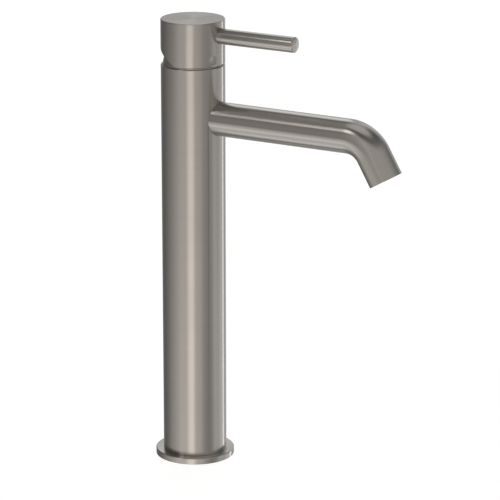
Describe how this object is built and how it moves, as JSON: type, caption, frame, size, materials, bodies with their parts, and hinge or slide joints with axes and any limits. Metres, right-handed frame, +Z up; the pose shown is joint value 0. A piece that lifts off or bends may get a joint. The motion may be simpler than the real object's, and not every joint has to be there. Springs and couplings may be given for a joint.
{
  "type": "basin mixer tap",
  "caption": "Tall single-lever basin mixer: round column on a thin base ring, round cap with a straight pin lever, and a round tube spout that bends down at its end.",
  "frame": {"origin": "centre of the foot's underside, on the deck that the mixer stands on", "axes": "+Z up along the column, +X along the spout and the lever, +Y to the left seen from behind the mixer"},
  "size_m": [0.1894, 0.056, 0.318],
  "materials": {
    "brushed_body": "brushed round the column, warm grey",
    "brushed_spout": "brushed along the tube, warm grey",
    "brushed_cap": "brushed round the cap, warm grey",
    "brushed_lever": "brushed round the pin, warm grey",
    "brushed_bonnet": "satin turned, warm grey",
    "button_metal": "satin",
    "steel": "machined",
    "brass": "machined",
    "copper": "drawn tube",
    "dark_chrome": "plated",
    "ceramic": "lapped",
    "white_plastic": "moulded",
    "black_plastic": "moulded",
    "seal_rubber": "moulded"
  },
  "bodies": {
    "root": {"body_tube": "brushed_body", "base_flange": "brushed_body", "deck_seal": "seal_rubber", "foot_block": "brass", "body_orings": "seal_rubber", "riser_hot": "copper", "riser_cold": "copper", "riser_seals": "seal_rubber", "valve_block": "brass", "spout_nipple": "brass", "spout_oring": "seal_rubber", "spout_tube": "brushed_spout", "aerator_housing": "dark_chrome", "aerator_seal": "seal_rubber", "aerator_insert": "white_plastic", "flow_plate": "steel", "cartridge_base": "white_plastic", "cartridge_seals": "seal_rubber", "fixed_disc": "ceramic", "cartridge_housing": "white_plastic", "cartridge_nut": "brass", "bonnet_dome": "brushed_bonnet"},
    "turner": {"stem_rotor": "black_plastic", "pivot_pin": "steel"},
    "valve_slide": {"moving_disc": "ceramic", "disc_carrier": "black_plastic"},
    "handle": {"handle_cap": "brushed_cap", "lever_rod": "brushed_lever", "lever_stud": "steel", "grub_screw": "steel", "index_button": "button_metal", "lever_stem": "steel"}
  },
  "joints": [
    {"name": "temperature_turn", "type": "hinge", "parent": "root", "child": "turner", "pos_m": [0, 0, 0.2855], "axis": [0, 0, 1], "range_deg": [-50, 50]},
    {"name": "flow_tilt", "type": "hinge", "parent": "turner", "child": "handle", "pos_m": [0, 0, 0.2855], "axis": [0, -1, 0], "range_deg": [0, 25]},
    {"name": "disc_slide", "type": "slide", "parent": "turner", "child": "valve_slide", "axis": [1, 0, 0], "range_m": [0, 0.0038]}
  ],
  "couplings": [
    {"joint": "disc_slide", "follows": "flow_tilt", "m_per_rad": 0.0087}
  ]
}
